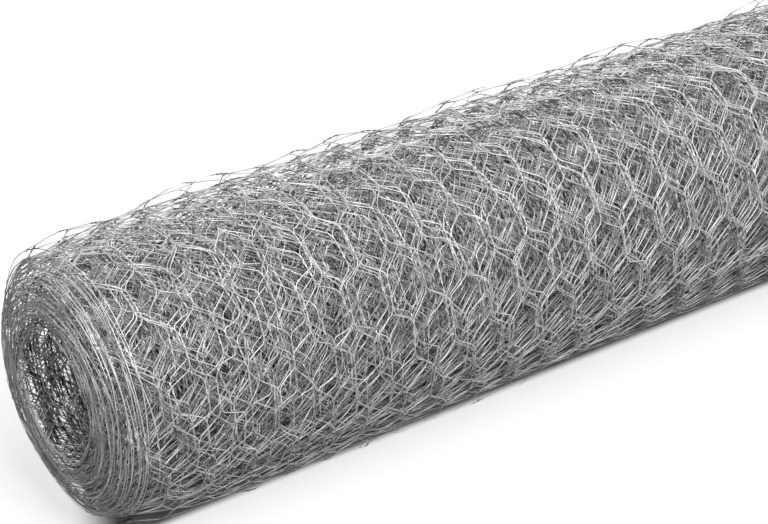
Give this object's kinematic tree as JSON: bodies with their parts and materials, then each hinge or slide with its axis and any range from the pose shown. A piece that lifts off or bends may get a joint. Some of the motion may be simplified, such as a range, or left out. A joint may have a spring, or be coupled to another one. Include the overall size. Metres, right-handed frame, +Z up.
{
  "type": "roll of chicken wire",
  "caption": "Roll of hexagonal galvanised wire netting wound on itself round an open bore, lying on its side, its turns slightly telescoped at the ends.",
  "frame": {"origin": "directly below the middle of the roll's box, on the floor that the roll lies on", "axes": "+X along the roll's axis, towards the end where the inner turns lie back; +Z up; +Y across the roll"},
  "size_m": [0.614, 0.1702, 0.1703],
  "materials": {
    "galvanised_wire": "galvanised steel wire, softly bright zinc with dull grey patches"
  },
  "bodies": {
    "root": {"netting_roll": "galvanised_wire"}
  },
  "joints": []
}
